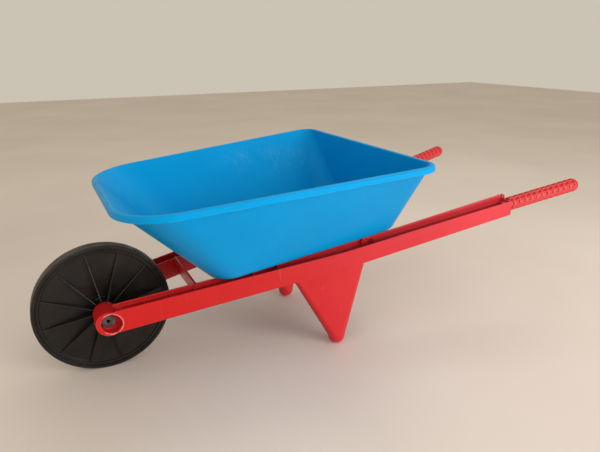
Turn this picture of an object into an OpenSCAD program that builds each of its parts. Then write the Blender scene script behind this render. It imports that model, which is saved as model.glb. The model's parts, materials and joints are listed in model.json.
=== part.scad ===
// Toy wheelbarrow: a moulded tray on two channel-section arms, with one wheel between them.
// The wheel is at -X, the grips at +X, +Z is up and the ground is at Z = 0.

/* [Overall] */
// Length from the front of the wheel to the ends of the grips
overall_len = 754; // [740:1:770]
// Fit gap between pieces that are fixed together
fit = 0.05; // [0.02:0.01:0.1]

/* [Wheel] */
// Radius of the wheel over its tread
wheel_r = 85; // [82:1:88]
// Half the width of the rim
rim_half_w = 9; // [8:0.5:10]
// Distance from the wheel's middle plane to the outside of its web, at the rim
web_h = 6; // [5:0.5:6.5]
// Distance by which the web dishes inwards at the hub
web_dish = 2.5; // [0:0.5:3]
// Radius of the hub
hub_r = 13.2; // [12:0.2:15]
// Half the length of the hub
hub_half_len = 20.5; // [18:0.5:20.5]
// Number of fins on each half of the wheel
fin_count = 12; // [8:1:16]
// Angle of the first fin above the horizontal
fin_start = 11; // [0:1:29]
// Thickness of a fin
fin_t = 1.8; // [1.2:0.2:2.4]
// Thickness of the wheel's moulded shell
shell_t = 2.3; // [1.8:0.1:2.6]

/* [Axle] */
// Radius of the axle
axle_r = 6; // [5:0.5:7]
// Radius of the hole along the axle
axle_hole_r = 2.2; // [2:0.2:4]
// Radial running gap between the axle and the wheel's bore
axle_gap = 0.06; // [0.02:0.01:0.1]
// Radius of the axle's head and of its cap
head_r = 8.6; // [8:0.2:10]
// Thickness of the head and of the cap
head_t = 3.3; // [2.5:0.1:4]

/* [Arms] */
// Angle by which each arm splays out from the centre line
arm_splay = 9.4; // [8:0.1:10]
// Distance from the centre line to an arm's inner face, square to the arm
arm_in = 30.5; // [29:0.5:32]
// Width of an arm across both walls of its channel
arm_w = 24.4; // [22:0.2:26]
// Thickness of an arm's walls and floor
wall = 2.8; // [2.4:0.1:3.2]
// Distance along an arm from the axle to its bend
bend_x = 310; // [290:1:320]
// Distance along an arm from the axle to its end wall
end_x = 566; // [555:1:570]
// Width of the ledge along the inside of the inner wall
ledge_w = 1.6; // [1:0.2:2]
// Depth of that ledge below the top of the wall
ledge_depth = 4; // [3:0.5:6]
// Outer radius of the boss that holds the axle
boss_r = 15.2; // [14.5:0.1:16]
// Distance from the centre line to the inner end of the boss
boss_in = 21.1; // [21:0.1:23]
// Radius of the recess round the end of the axle
recess_r = 12.6; // [11.5:0.1:12.8]
// Distance from the centre line to the floor of that recess
recess_in = 43.5; // [42:0.5:45]
// Distance by which the recess is set back towards the grips
recess_shift = 3.1; // [0:0.1:3.5]

/* [Legs] */
// Distance along an arm to the front of its leg, just inside the arm
leg_front_x = 241; // [235:1:250]
// Distance along an arm to the back of its leg, just inside the arm
leg_back_x = 344; // [334:1:348]
// Distance along an arm to the foot
foot_x = 309; // [297:1:317]
// Distance from the centre line to the foot, square to the arm
foot_y = 36; // [34:0.5:44]
// Radius of the rounded foot
foot_r = 12; // [10:0.5:13]
// Radius of the leg's upright edges
leg_edge_r = 6; // [4:0.5:8]

/* [Grips] */
// Radius of a grip
grip_r = 9.8; // [9:0.1:10.4]
// Height of the grip's axis above the ground where it leaves the arm
grip_z = 183.6; // [182.6:0.2:184.6]
// Upward slope of the grip, in degrees
grip_pitch = 10.6; // [10:0.1:11.5]
// Length of the slightly thinner neck where the grip leaves the arm
neck_len = 3; // [2.6:0.1:6]
// Radius of the spigot that holds the grip in the arm
spigot_r = 5.4; // [4.8:0.1:6.4]
// Length of that spigot
spigot_len = 10; // [8:1:14]

/* [Tray] */
// Slope of the tray's floor, in degrees
deck_pitch = 9.7; // [9.2:0.01:9.9]
// Distance from the axle to the front edge of the tray's floor
deck_x = 132.5; // [129:0.5:134]
// Height of the underside of the floor at its front edge
deck_z = 118.7; // [118.6:0.1:120]
// Length of the floor, along its slope
deck_len = 267.9; // [262:0.1:270]
// Half the width of the floor at its front edge
deck_half_front = 76.7; // [72:0.1:80]
// Half the width of the floor at its back edge
deck_half_back = 102.4; // [98:0.1:106]
// Radius of the soft bend between the floor and the walls
deck_bend_r = 12; // [8:1:15]
// Radius of the floor's corners, seen from above
deck_corner_r = 32.5; // [28:0.5:40]
// Slope of the tray's rim, in degrees
rim_pitch = 4.8; // [4:0.01:6]
// Distance from the axle to the front edge of the tray's mouth
rim_x = 18.5; // [15:0.1:24]
// Height of the front edge of the mouth
rim_z = 234.6; // [230:0.1:240]
// Length of the mouth, along its slope
rim_len = 368.4; // [362:0.2:374]
// Half the width of the mouth at its front edge
rim_half_front = 134.6; // [130:0.2:140]
// Half the width of the mouth at its back edge
rim_half_back = 173.2; // [168:0.2:178]
// Radius of the mouth's front corners
rim_front_r = 67.5; // [56:0.5:72]
// Radius of the mouth's back corners
rim_back_r = 18.5; // [16:0.5:30]
// Thickness of the tray
tray_t = 2.4; // [2:0.1:3]
// Distance by which the lip stands out from the mouth
lip_out = 7; // [6:0.1:9]
// Height of the turned-down lip
lip_h = 8; // [6:0.5:9]
// Thickness of the lip
lip_t = 2.2; // [1.8:0.1:2.2]

/* [Crossbars] */
// Distance from the axle to the crossbar behind the wheel
front_bar_x = 110; // [105:1:115]
// Distance from the axle to the crossbar under the front of the tray
middle_bar_x = 185; // [170:1:200]
// Distance from the axle to the crossbar under the back of the tray
back_bar_x = 335; // [320:1:340]
// Thickness of a crossbar
bar_t = 3; // [2.4:0.1:4]
// Height of a crossbar
bar_h = 25; // [22:0.5:26]
// Radius of the post that a tray screw goes into
post_r = 5.5; // [5:0.1:7]
// Distance of the screws from the centre line on the middle crossbar
middle_screw_y = 34; // [28:1:38]
// Distance of the screws from the centre line on the back crossbar
back_screw_y = 52; // [45:1:60]

/* [Screws] */
// Radius of a screw's shank
screw_r = 1.9; // [1.5:0.1:2.2]
// Length of a screw below its head
screw_len = 18; // [14:1:20]
// Radius of a screw's head
screw_head_r = 5; // [4:0.1:6]

/* [Hidden] */
$fn = 64;
hull_fn = 32;

// How far cutting shapes run past what they cut, and the size of the large cutting blocks.
past = 5;
block = 50;

// The axle's place, so that the origin is below the middle of the whole length.
axle_x = wheel_r - overall_len / 2;
axle_z = wheel_r;

// Arms: heights of the channel's edges at the axle, at the bend and at the end wall.
nose_x = 8;
top_nose = 98.3;
top_bend = 142.7;
top_end = 191.7;
bottom_nose = 69.1;
bottom_bend = 117.7;
bottom_end = 171.4;
arm_out = arm_in + arm_w;
arm_mid = arm_in + arm_w / 2;
cavity_front_x = 29;
rise_start_x = 200;
rise_mid_x = 390;
rise_bend = 2.4;
rise_mid = 2;
rise_end = 5.5;
trough_start_x = 14;
trough_start_depth = 1.2;
trough_end_x = 18;
trough_end_depth = 10;
cavity_end_x = end_x - wall;
rib_t = 2;
rib_below = 1.2;
rib_front_x = 223;
rib_back_x = 359;
leg_sink = 5;
leg_step = 0.1;

// Grips: length from the end wall to the centre of the round end.
tip_x = (overall_len / 2 - grip_r - axle_x + arm_mid * sin(arm_splay)) / cos(arm_splay);
grip_len = (tip_x - end_x) / cos(grip_pitch);
neck_start = 4;
neck_step = 0.3;

// Tray: points on each corner, and how far each wall leans out from square to the floor.
corner_steps = 14;
ring_count = 4 * (corner_steps + 1);
bend_parts = [0, 1 / 3, 2 / 3, 1];
deck_k = (deck_half_back - deck_half_front) / deck_len;
rim_k = (rim_half_back - rim_half_front) / rim_len;
wall_top_out = 1.4;
screw_gap = 0.3;
lean_front = 34.8;
lean_side = 30;
lean_back = 3.5;

// Wheel: radii of the steps in the rim.
web_r = 75.6;
lip_r = 78.6;
groove_r = 80.2;
bearing_r = 9;
fin_top_rim = 7.6;
fin_top_hub = 18;

// Crossbars: heads that lock the ends in the channels.
bar_head_len = 8;
bar_head_w = 3;
bar_head_gap = 0.8;
bar_drop = 0.1;

function arm_top(x) = x < bend_x
    ? top_nose + (top_bend - top_nose) * x / bend_x
    : top_bend + (top_end - top_bend) * (x - bend_x) / (end_x - bend_x);

function arm_bottom(x) = x < bend_x
    ? bottom_nose + (bottom_bend - bottom_nose) * x / bend_x
    : bottom_bend + (bottom_end - bottom_bend) * (x - bend_x) / (end_x - bend_x);

// Distance from the centre line to an arm's inner face, at a distance x behind the axle.
function inner_face_y(x) = (arm_in + x * sin(arm_splay)) / cos(arm_splay);

// ---------- frames ----------

module at_axle() {
    translate([axle_x, 0, 0])
        children();
}

// The right-hand arm's own frame: X along the arm, Y square to it.
module in_arm() {
    at_axle()
        rotate([0, 0, arm_splay])
            children();
}

// The floor's frame: origin at the middle of its front edge, X up the slope.
module in_deck() {
    at_axle()
        translate([deck_x, 0, deck_z])
            rotate([0, -deck_pitch, 0])
                children();
}

// ---------- tray ----------

// Which way the outside of a four-cornered outline faces at each of its points.
// The outline starts at the front and runs round the right-hand side to the back.
function facing(k) = [
    for (i = [0 : corner_steps]) 180 - (90 - atan(k)) * i / corner_steps,
    for (i = [0 : corner_steps]) (90 + atan(k)) * (1 - i / corner_steps),
    for (i = [0 : corner_steps]) -(90 + atan(k)) * i / corner_steps,
    for (i = [0 : corner_steps]) -90 - atan(k) - (90 - atan(k)) * i / corner_steps
];

// Centre of the rounded corner that point i of the outline belongs to.
function corner(i, len, half0, half1, r0, r1) =
    let (k = (half1 - half0) / len, s = sqrt(1 + k * k), part = floor(i / (corner_steps + 1)))
    part == 0 ? [r0, half0 + k * r0 - s * r0]
    : part == 1 ? [len - r1, half1 - k * r1 - s * r1]
    : part == 2 ? [len - r1, -(half1 - k * r1 - s * r1)]
    : [r0, -(half0 + k * r0 - s * r0)];

// How far a wall leans out from square to the floor, where it faces the angle a.
function wall_lean(a) =
    (cos(a) < 0 ? lean_front : lean_back) * cos(a) * cos(a) + lean_side * sin(a) * sin(a);

function from_deck(p) = [
    deck_x + p[0] * cos(deck_pitch) - p[2] * sin(deck_pitch),
    p[1],
    deck_z + p[0] * sin(deck_pitch) + p[2] * cos(deck_pitch)
];

function from_rim(p) = [
    rim_x + p[0] * cos(rim_pitch) - p[2] * sin(rim_pitch),
    p[1],
    rim_z + p[0] * sin(rim_pitch) + p[2] * cos(rim_pitch)
];

// One ring of the bend between floor and wall: part of the way round an arc of radius r.
function bend_ring(r, part) = [
    for (i = [0 : ring_count - 1])
        let (
            a = facing(deck_k)[i],
            c = corner(i, deck_len, deck_half_front, deck_half_back, deck_corner_r, deck_corner_r),
            lean = wall_lean(a),
            turn = part * (90 - lean),
            out = r * sin(turn) - deck_bend_r * tan((90 - lean) / 2)
        )
        from_deck([
            c[0] + (deck_corner_r + out) * cos(a),
            c[1] + (deck_corner_r + out) * sin(a),
            deck_bend_r - r * cos(turn)
        ])
];

// One ring at the rim, standing out from the mouth, at a height in the rim's own frame.
function rim_ring(out, z) = [
    for (i = [0 : ring_count - 1])
        let (
            a = facing(rim_k)[i],
            c = corner(i, rim_len, rim_half_front, rim_half_back, rim_front_r, rim_back_r),
            r = i < corner_steps + 1 || i >= 3 * (corner_steps + 1) ? rim_front_r : rim_back_r
        )
        from_rim([c[0] + (r + out) * cos(a), c[1] + (r + out) * sin(a), z])
];

// A closed skin over a list of rings, with a flat cap on the first and on the last.
module skin(rings) {
    n = len(rings[0]);
    points = [for (ring = rings, p = ring) p];
    sides = [
        for (j = [0 : len(rings) - 2], i = [0 : n - 1])
            let (a = j * n + i, b = j * n + (i + 1) % n)
            each [[a, b, b + n], [a, b + n, a + n]]
    ];
    first_cap = [for (i = [n - 1 : -1 : 0]) i];
    last_cap = [for (i = [0 : n - 1]) (len(rings) - 1) * n + i];
    polyhedron(points = points, faces = concat([first_cap], sides, [last_cap]));
}

// Up the outside, round the turned-down lip, over the edge of the mouth and down the inside.
module tray_shell() {
    skin(concat(
        [for (part = bend_parts) bend_ring(deck_bend_r, part)],
        [
            rim_ring(wall_top_out, -lip_t),
            rim_ring(lip_out - lip_t, -lip_t),
            rim_ring(lip_out - lip_t + 0.2, -lip_h),
            rim_ring(lip_out, -lip_h),
            rim_ring(lip_out - 0.1, -3),
            rim_ring(lip_out - 0.9, -1.3),
            rim_ring(lip_out - 2.4, -0.3),
            rim_ring(lip_out - 4.4, 0),
            rim_ring(0.6, 0),
            rim_ring(0, -0.5)
        ],
        [for (i = [len(bend_parts) - 1 : -1 : 0]) bend_ring(deck_bend_r - tray_t, bend_parts[i])]
    ));
}

module screw_places() {
    for (side = [-1, 1]) {
        translate([(middle_bar_x - deck_x) / cos(deck_pitch), side * middle_screw_y, 0])
            children();
        translate([(back_bar_x - deck_x) / cos(deck_pitch), side * back_screw_y, 0])
            children();
    }
}

module tray() {
    color("deepskyblue")
        difference() {
            at_axle()
                tray_shell();
            in_deck()
                screw_places()
                    translate([0, 0, -past])
                        cylinder(r = screw_r + screw_gap, h = tray_t + 2 * past);
        }
}

module tray_screws() {
    color("silver")
        in_deck()
            screw_places() {
                translate([0, 0, tray_t - screw_len])
                    cylinder(r = screw_r, h = screw_len);
                translate([0, 0, tray_t])
                    cross_head();
            }
}

// A pan head with a cross recess.
module cross_head() {
    difference() {
        intersection() {
            cylinder(r = screw_head_r, h = 2.6);
            translate([0, 0, -6.6])
                sphere(r = 9.2);
        }
        for (a = [0, 90])
            rotate([0, 0, a])
                translate([-2.6, -0.5, 1.2])
                    cube([5.2, 1, 2]);
    }
}

// ---------- arms ----------

// A slab in the arm's frame, from y0 to y1, with the side outline given as points.
module side_slab(points, y0, y1) {
    translate([0, y1, 0])
        rotate([90, 0, 0])
            linear_extrude(height = y1 - y0)
                polygon(points);
}

module channel_outside() {
    side_slab([
        [nose_x, arm_bottom(nose_x)],
        [bend_x, arm_bottom(bend_x)],
        [end_x - 2, arm_bottom(end_x - 2)],
        [end_x, arm_bottom(end_x) + 2],
        [end_x, arm_top(end_x) - 1],
        [end_x - 1.5, arm_top(end_x - 1.5)],
        [bend_x, arm_top(bend_x)],
        [nose_x, arm_top(nose_x)]
    ], arm_in, arm_out);
}

// The inner wall's top edge, which stands a little above the outer wall's from the legs back.
module raised_edge() {
    side_slab([
        [rise_start_x, arm_top(rise_start_x) - 1],
        [bend_x, arm_top(bend_x) - 1],
        [end_x, arm_top(end_x) - 2],
        [end_x, arm_top(end_x) + rise_end],
        [rise_mid_x, arm_top(rise_mid_x) + rise_mid],
        [bend_x, arm_top(bend_x) + rise_bend],
        [rise_start_x, arm_top(rise_start_x)]
    ], arm_in, arm_in + wall);
}

// The open channel between the walls, from y0 to y1, with a shallow trough at its front end.
module channel_cut(y0, y1) {
    side_slab([
        [trough_start_x, arm_top(trough_start_x) - trough_start_depth],
        [trough_end_x, arm_top(trough_end_x) - trough_end_depth],
        [cavity_front_x, arm_bottom(cavity_front_x) + wall],
        [bend_x, arm_bottom(bend_x) + wall],
        [cavity_end_x, arm_bottom(cavity_end_x) + wall],
        [cavity_end_x, arm_top(cavity_end_x) + past],
        [bend_x, arm_top(bend_x) + past],
        [trough_start_x, arm_top(trough_start_x) + past]
    ], y0, y1);
}

module ledge_cut() {
    side_slab([
        [cavity_front_x, arm_top(cavity_front_x) - ledge_depth],
        [bend_x, arm_top(bend_x) - ledge_depth],
        [cavity_end_x, arm_top(cavity_end_x) - ledge_depth],
        [cavity_end_x, arm_top(cavity_end_x) + past],
        [bend_x, arm_top(bend_x) + past],
        [cavity_front_x, arm_top(cavity_front_x) + past]
    ], arm_in + wall, arm_in + arm_w / 2);
}

// The leg narrows from nearly the whole width of the arm to a rounded foot; t shrinks it.
module leg_body(t) {
    edge = leg_edge_r - t;
    hull() {
        for (y = [arm_in + leg_step + leg_edge_r, arm_out - leg_step - leg_edge_r]) {
            translate([leg_front_x + leg_edge_r, y, arm_bottom(leg_front_x) + leg_sink + t])
                cylinder(r = edge, h = 1, $fn = hull_fn);
            translate([leg_back_x - leg_edge_r, y, arm_bottom(leg_back_x) + leg_sink + t])
                cylinder(r = edge, h = 1, $fn = hull_fn);
        }
        translate([foot_x, foot_y, foot_r])
            sphere(r = foot_r - t, $fn = hull_fn);
    }
}

// A cylinder along the axle's line, from y0 to y1, in the arm's frame.
module axle_line(r, y0, y1, x = 0) {
    rotate([0, 0, -arm_splay])
        translate([x, y0, axle_z])
            rotate([-90, 0, 0])
                cylinder(r = r, h = y1 - y0);
}

// The boss lies along the axle and is cut off flush with the arm's outer face.
module boss() {
    difference() {
        axle_line(boss_r, boss_in, arm_out + boss_r);
        translate([-block, arm_out, 0])
            cube([2 * block, block, 2 * wheel_r]);
    }
}

// A rib across the channel, a little lower than its walls and let into them.
module rib(x) {
    side_slab([
        [x - rib_t / 2, arm_bottom(x) + 1],
        [x + rib_t / 2, arm_bottom(x) + 1],
        [x + rib_t / 2, arm_top(x) - rib_below],
        [x - rib_t / 2, arm_top(x) - rib_below]
    ], arm_in + 1, arm_out - 1);
}

module in_grip() {
    translate([end_x, arm_mid, grip_z])
        rotate([0, 90 - grip_pitch, 0])
            children();
}

module bar_notches() {
    for (x = [front_bar_x, middle_bar_x, back_bar_x])
        rotate([0, 0, -arm_splay])
            translate([deck_x, 0, deck_z])
                rotate([0, -deck_pitch, 0])
                    translate([bar_deck_x(x) - bar_t / 2 - fit, 0, -bar_drop - bar_h - fit])
                        cube([bar_t + 2 * fit, inner_face_y(x) + wall + ledge_w + 1.4, bar_h + block]);
}

function bar_deck_x(x) = (x - deck_x) / cos(deck_pitch);

module arm() {
    difference() {
        union() {
            difference() {
                union() {
                    channel_outside();
                    raised_edge();
                    leg_body(0);
                    boss();
                }
                channel_cut(arm_in + wall + ledge_w, arm_out - wall);
                ledge_cut();
                leg_body(wall);
            }
            rib(rib_front_x);
            rib(rib_back_x);
        }
        bar_notches();
        axle_line(axle_r + fit, boss_in - 1, arm_out);
        axle_line(recess_r, recess_in, arm_out + boss_r, recess_shift);
        in_grip()
            translate([0, 0, -spigot_len])
                cylinder(r = spigot_r + fit, h = spigot_len + past);
    }
}

module right_arm() {
    color("crimson")
        in_arm()
            arm();
}

module left_arm() {
    mirror([0, 1, 0])
        right_arm();
}

// ---------- grips ----------

module right_grip() {
    color("tomato")
        in_arm() {
            difference() {
                in_grip() {
                    translate([0, 0, -neck_start])
                        cylinder(r = grip_r - neck_step, h = neck_start + neck_len);
                    translate([0, 0, neck_len])
                        cylinder(r = grip_r, h = grip_len - neck_len);
                    translate([0, 0, grip_len])
                        sphere(r = grip_r);
                }
                translate([end_x + fit - block, 0, 0])
                    cube([block, 2 * arm_out, 2 * grip_z]);
            }
            in_grip()
                translate([0, 0, 1 - spigot_len])
                    cylinder(r = spigot_r, h = spigot_len + 3);
        }
}

module left_grip() {
    mirror([0, 1, 0])
        right_grip();
}

// ---------- crossbars ----------

// One crossbar in the floor's frame; post_y is the place of its screw posts, or 0 for none.
module crossbar(x, post_y) {
    y_in = inner_face_y(x);
    head_y = y_in + (wall + ledge_w) / cos(arm_splay) + bar_head_gap;
    in_deck()
        translate([bar_deck_x(x), 0, -bar_drop])
            difference() {
                union() {
                    translate([-bar_t / 2, -head_y - 1, -bar_h])
                        cube([bar_t, 2 * head_y + 2, bar_h]);
                    for (side = [0, 1])
                        mirror([0, side, 0]) {
                            translate([-bar_head_len / 2, head_y, -bar_h + 3])
                                cube([bar_head_len, bar_head_w, bar_h - 6]);
                            if (post_y > 0)
                                translate([0, post_y, -bar_h + 4])
                                    cylinder(r = post_r, h = bar_h - 4);
                        }
                }
                if (post_y > 0)
                    for (side = [-1, 1])
                        translate([0, side * post_y, 1 - screw_len])
                            cylinder(r = screw_r + fit, h = screw_len);
            }
}

module front_crossbar() {
    color("firebrick")
        crossbar(front_bar_x, 0);
}

module middle_crossbar() {
    color("firebrick")
        crossbar(middle_bar_x, middle_screw_y);
}

module back_crossbar() {
    color("firebrick")
        crossbar(back_bar_x, back_screw_y);
}

// ---------- wheel ----------

// One half of the hollow wheel, with its middle plane at Z = 0.
module wheel_half() {
    rotate_extrude($fn = 128)
        polygon([
            [axle_r + axle_gap, 0],
            [axle_r + axle_gap, hub_half_len],
            [hub_r, hub_half_len],
            [hub_r + 0.8, web_h - web_dish],
            [web_r, web_h],
            [web_r + 0.8, rim_half_w - 0.8],
            [lip_r, rim_half_w - 0.8],
            [lip_r + 0.4, rim_half_w - 1.6],
            [groove_r, rim_half_w - 1.6],
            [groove_r + 0.6, rim_half_w],
            [wheel_r - 1.4, rim_half_w],
            [wheel_r - 0.4, rim_half_w - 0.4],
            [wheel_r, rim_half_w - 1.4],
            [wheel_r, 0],
            [wheel_r - shell_t, 0],
            [wheel_r - shell_t, web_h - 1],
            [web_r - 1, web_h - shell_t],
            [bearing_r, web_h - web_dish - shell_t],
            [bearing_r, 0]
        ]);
    for (i = [0 : fin_count - 1])
        rotate([0, 0, fin_start + i * 360 / fin_count])
            rotate([90, 0, 0])
                translate([0, 0, -fin_t / 2])
                    linear_extrude(height = fin_t)
                        polygon([
                            [hub_r - 1, web_h - web_dish - 1],
                            [web_r + 0.5, web_h - 1],
                            [web_r + 0.5, fin_top_rim],
                            [hub_r - 1, fin_top_hub]
                        ]);
}

module wheel_left_half() {
    color("dimgray")
        at_axle()
            translate([0, 0, axle_z])
                rotate([90, 0, 0])
                    wheel_half();
}

module wheel_right_half() {
    mirror([0, 1, 0])
        wheel_left_half();
}

// ---------- axle ----------

module on_axle_line() {
    at_axle()
        translate([0, 0, axle_z])
            rotate([90, 0, 0])
                children();
}

module axle() {
    color("gray")
        on_axle_line()
            difference() {
                union() {
                    translate([0, 0, -recess_in - head_t])
                        cylinder(r = axle_r, h = 2 * recess_in + 2 * head_t);
                    translate([0, 0, recess_in + fit])
                        cylinder(r = head_r, h = head_t - fit);
                }
                translate([0, 0, -recess_in - head_t - 1])
                    cylinder(r = axle_hole_r, h = 2 * (recess_in + head_t + 1));
            }
}

module axle_cap() {
    color("darkslategray")
        on_axle_line()
            translate([0, 0, -recess_in - head_t])
                difference() {
                    cylinder(r = head_r, h = head_t - fit);
                    translate([0, 0, -1])
                        cylinder(r = axle_r + fit, h = head_t + 2);
                }
}

tray();
left_arm();
right_arm();
left_grip();
right_grip();
front_crossbar();
middle_crossbar();
back_crossbar();
wheel_left_half();
wheel_right_half();
axle();
axle_cap();
tray_screws();
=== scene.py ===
"""The looks of a child's plastic wheelbarrow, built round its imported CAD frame.

Lengths in the shape functions are millimetres, measured from the point on the ground below the
axle: X towards the grips, Y to the right, Z up. place() turns them into metres in the frame.
"""
import json
import math

import bmesh
import bpy
from mathutils import Matrix, Vector, noise


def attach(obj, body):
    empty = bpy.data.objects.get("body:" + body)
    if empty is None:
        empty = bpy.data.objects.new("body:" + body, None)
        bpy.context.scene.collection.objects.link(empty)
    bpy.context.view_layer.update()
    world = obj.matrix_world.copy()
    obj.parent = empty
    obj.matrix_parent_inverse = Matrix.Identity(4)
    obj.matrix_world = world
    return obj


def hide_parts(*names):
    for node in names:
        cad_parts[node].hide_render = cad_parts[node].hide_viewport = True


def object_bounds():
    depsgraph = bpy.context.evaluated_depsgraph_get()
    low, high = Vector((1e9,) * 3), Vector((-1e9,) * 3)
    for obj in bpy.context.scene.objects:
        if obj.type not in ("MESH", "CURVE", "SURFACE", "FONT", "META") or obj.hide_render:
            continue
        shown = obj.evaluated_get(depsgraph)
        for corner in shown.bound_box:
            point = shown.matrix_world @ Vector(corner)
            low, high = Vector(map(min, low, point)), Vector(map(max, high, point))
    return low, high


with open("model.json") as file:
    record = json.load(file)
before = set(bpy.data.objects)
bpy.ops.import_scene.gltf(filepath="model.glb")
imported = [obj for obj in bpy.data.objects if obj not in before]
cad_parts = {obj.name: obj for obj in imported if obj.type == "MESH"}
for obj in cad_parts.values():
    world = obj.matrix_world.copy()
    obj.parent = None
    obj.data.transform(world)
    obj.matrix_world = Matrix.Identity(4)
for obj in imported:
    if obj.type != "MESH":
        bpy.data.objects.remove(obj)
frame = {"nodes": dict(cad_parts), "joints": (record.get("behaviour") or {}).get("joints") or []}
cad_low, cad_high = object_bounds()

MM = 0.001
AXLE = Vector(frame["joints"][0]["pos_m"])
AXLE_Z = AXLE.z / MM
TIP_X = (cad_high.x - AXLE.x) / MM
UP = Vector((0, 0, 1))

# Arms
SPLAY = math.radians(9.4)
ARM_IN = 30.5
ARM_W = 24.4
ARM_OUT = ARM_IN + ARM_W
ARM_MID = ARM_IN + ARM_W / 2
WALL = 2.8
LEDGE_W = 1.6
LEDGE_DEPTH = 4
NOSE_X = 8
BEND_X = 310
END_X = 566
TOP = (98.3, 142.7, 191.7)
BOTTOM = (69.1, 117.7, 171.4)
RISE = ((200, 0), (310, 2.4), (390, 2), (566, 5.5))
CAVITY_X = 29
TROUGH = ((14, 1.2), (18, 10))
RIB_X = (223, 359)
BOSS_R = 15.2
BOSS_IN = 21.1
RECESS_R = 12.6
RECESS_IN = 43.5
RECESS_SHIFT = 3.1

# Legs
LEG_FRONT = 241
LEG_BACK = 344
LEG_EDGE_R = 6
LEG_SINK = 5
LEG_STEP = 0.1
FOOT = Vector((309, 36, 12))
FOOT_R = 12

# Grips
GRIP_R = 9.8
GRIP_Z = 183.6
GRIP_PITCH = math.radians(10.6)
NECK_LEN = 3
NECK_STEP = 0.3
SPIGOT_R = 5.4
SPIGOT_LEN = 10
DIMPLE_PITCH = 9.5
DIMPLE_LEN = 5.2
DIMPLE_W = 4.4
DIMPLE_DEPTH = 1.1
DIMPLE_COUNT = 12
DIMPLE_START = 3.6
DIMPLE_SOFT = 1.1
DIMPLE_ROWS = (90, 54, 126, 18, 162, -54, -126, -90)

# Tray
DECK_PITCH = math.radians(9.7)
DECK = Vector((132.5, 0, 118.7))
DECK_LEN = 267.9
DECK_HALF = (76.7, 102.4)
DECK_BEND_R = 12
DECK_CORNER_R = 32.5
RIM_PITCH = math.radians(4.8)
RIM = Vector((18.5, 0, 234.6))
RIM_LEN = 368.4
RIM_HALF = (134.6, 173.2)
RIM_R = (67.5, 18.5)
TRAY_T = 2.4
LIP_OUT = 7
LIP_H = 8
LIP_T = 2.2
LIP_CREST_W = 4.6
LIP_CREST_H = 3.4
LEAN = {"front": 34.8, "side": 30, "back": 3.5}

# Crossbars: each one's name, its distance behind the axle, and how far its screws stand to each
# side of the centre line, or 0 for none
BARS = (("front", 110, 0), ("middle", 185, 34), ("back", 335, 52))
BAR_T = 3
BAR_H = 25
BAR_DROP = 0.1
BAR_FIT = 0.05
POST_R = 5.5
HEAD_REACH = 3
POST_DROP = 4
SCREW_R = 1.9
SCREW_LEN = 18
SCREW_GAP = 0.3

# Wheel and axle
WHEEL_R = AXLE_Z
RIM_HALF_W = 9
WEB_Z = 6
WEB_DISH = 2.5
SHELL_T = 2.3
WEB_R = 75.6
LIP_R = 78.6
GROOVE_R = 80.2
GROOVE_DEPTH = 2
HUB_R = 13.2
HUB_HALF = 20.5
HOLLOW_R = 9
BORE_R = 6.06
AXLE_R = 6
AXLE_HOLE_R = 2.2
HEAD_R = 8.6
HEAD_T = 3.3
FIN_COUNT = 12
FIN_START = 11
FIN_T = 1.8
FIN_TOP = (18, 7.6)

# Rings and steps that a curve is drawn with
CORNER_STEPS = 18
SIDE_STEPS = 12
AROUND_GRIP = 144
AROUND_WHEEL = 192
AROUND_BOSS = 96
STATION_GAP = 30

# Stage: the camera's place in metres, and its azimuth, elevation and roll in degrees
CAMERA_AT = (-0.34598, -0.69196, 0.40653)
CAMERA_ANGLES = (-26.0605, 18.335, -0.3185)
CAMERA_LENS = 33.09
CAMERA_SENSOR = 36
FLOOR_HALF = 4.0


# ---------- mesh helpers ----------

def place(point):
    """A point in millimetres from below the axle, as metres in the frame."""
    return Vector((AXLE.x + point[0] * MM, point[1] * MM, point[2] * MM))


def new_object(name, points, faces):
    """A mesh object from points in millimetres."""
    mesh = bpy.data.meshes.new(name)
    mesh.from_pydata([place(p) for p in points], [], faces)
    bm = bmesh.new()
    bm.from_mesh(mesh)
    bmesh.ops.remove_doubles(bm, verts=bm.verts, dist=1e-7)
    bmesh.ops.recalc_face_normals(bm, faces=bm.faces)
    bm.to_mesh(mesh)
    bm.free()
    obj = bpy.data.objects.new(name, mesh)
    bpy.context.scene.collection.objects.link(obj)
    return obj


def skin(name, rings, closed=False):
    """A tube over rings of points, capped at both ends unless it closes on itself."""
    n = len(rings[0])
    points = [p for ring in rings for p in ring]
    faces = []
    for j in range(len(rings) if closed else len(rings) - 1):
        k = (j + 1) % len(rings)
        for i in range(n):
            faces.append((j * n + i, j * n + (i + 1) % n, k * n + (i + 1) % n, k * n + i))
    if not closed:
        faces.append(tuple(range(n)))
        faces.append(tuple((len(rings) - 1) * n + i for i in range(n)))
    return new_object(name, points, faces)


def boolean(obj, operation, *tools):
    """obj after a union, difference or intersection with each tool; the tools are used up."""
    for tool in tools:
        modifier = obj.modifiers.new("cut", "BOOLEAN")
        modifier.operation = operation
        modifier.solver = "MANIFOLD"
        modifier.object = tool
        graph = bpy.context.evaluated_depsgraph_get()
        mesh = bpy.data.meshes.new_from_object(obj.evaluated_get(graph))
        obj.modifiers.clear()
        obj.data = mesh
        bpy.data.objects.remove(tool)
    return obj


def shade(obj, angle):
    """Smooth shading between faces that meet at less than the angle."""
    obj.data.shade_smooth()
    obj.data.set_sharp_from_angle(angle=math.radians(angle))
    weighted = obj.modifiers.new("normals", "WEIGHTED_NORMAL")
    weighted.keep_sharp = True
    return obj


def bevel(obj, width):
    """Rounds the object's sharp edges; width is in millimetres."""
    modifier = obj.modifiers.new("rounding", "BEVEL")
    modifier.width = width * MM
    modifier.segments = 2
    modifier.limit_method = "ANGLE"
    modifier.angle_limit = math.radians(35)
    graph = bpy.context.evaluated_depsgraph_get()
    mesh = bpy.data.meshes.new_from_object(obj.evaluated_get(graph))
    obj.modifiers.clear()
    obj.data = mesh
    return obj


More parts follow.
